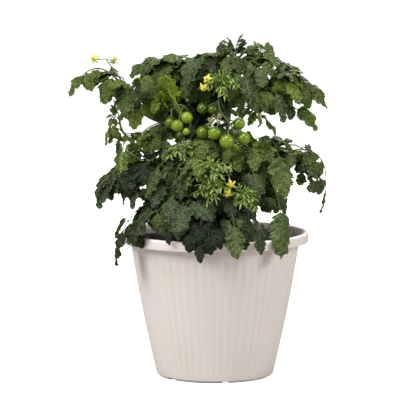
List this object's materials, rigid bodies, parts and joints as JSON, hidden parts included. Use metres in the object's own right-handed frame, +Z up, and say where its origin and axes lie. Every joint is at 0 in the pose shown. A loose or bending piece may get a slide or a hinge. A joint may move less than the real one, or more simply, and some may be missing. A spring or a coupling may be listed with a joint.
{
  "type": "potted tomato plant",
  "caption": "Compact tomato plant with lobed compound leaves, yellow flowers and green cherry fruit in a tapered, ribbed plastic pot with a turned-down rim.",
  "frame": {"origin": "centre of the pot's foot, on the surface it stands on", "axes": "+Z up along the pot's axis, -Y towards the side with the fruit, +X to that side's right"},
  "size_m": [0.3848, 0.3128, 0.5144],
  "materials": {
    "pot_plastic": "satin",
    "potting_mix": "matte",
    "stem": "satin",
    "leaf": "satin",
    "young_leaf": "satin",
    "fruit_skin": "gloss",
    "petal": "matte"
  },
  "bodies": {
    "root": {"back_shoot": "stem", "flower_truss_front": "petal", "flower_truss_left": "petal", "flower_truss_top": "petal", "front_shoot": "stem", "leaf_back_left": "leaf", "leaf_back_low": "leaf", "leaf_back_right": "leaf", "leaf_back_top": "leaf", "leaf_backlit": "leaf", "leaf_centre_droop": "leaf", "leaf_centre_left": "leaf", "leaf_far_left_top": "leaf", "leaf_far_right": "leaf", "leaf_hanging_bright": "leaf", "leaf_left_top_bright": "leaf", "leaf_left_top_front": "leaf", "leaf_low_left": "leaf", "leaf_low_left_front": "leaf", "leaf_mid_left": "leaf", "leaf_right_arc": "leaf", "leaf_right_big": "leaf", "leaf_right_droop": "leaf", "leaf_right_front": "leaf", "leaf_right_top": "leaf", "leaf_right_under": "leaf", "leaf_rim_left": "leaf", "leaf_rim_lit": "leaf", "leaf_rim_middle": "leaf", "leaf_rim_right": "leaf", "leaf_sprig_outer": "leaf", "leaf_top_dome": "leaf", "leaf_top_front": "leaf", "leaf_up_left": "leaf", "left_fruit_truss": "stem", "left_lower_shoot": "stem", "left_upper_shoot": "stem", "main_stem": "stem", "pot": "pot_plastic", "potting_mix": "potting_mix", "right_fruit_truss": "stem", "right_lower_shoot": "stem", "right_upper_shoot": "stem", "tomato_left_1": "fruit_skin", "tomato_left_2": "fruit_skin", "tomato_left_3": "fruit_skin", "tomato_left_4": "fruit_skin", "tomato_left_5": "fruit_skin", "tomato_right_1": "fruit_skin", "tomato_right_2": "fruit_skin", "tomato_right_3": "fruit_skin", "tomato_right_4": "fruit_skin", "tomato_right_5": "fruit_skin", "tomato_right_6": "fruit_skin", "tomato_right_7": "fruit_skin", "tomato_right_8": "fruit_skin", "young_leaf_top": "young_leaf", "young_tuft_middle": "young_leaf", "young_tuft_right": "young_leaf", "young_tuft_top": "young_leaf"}
  },
  "joints": []
}
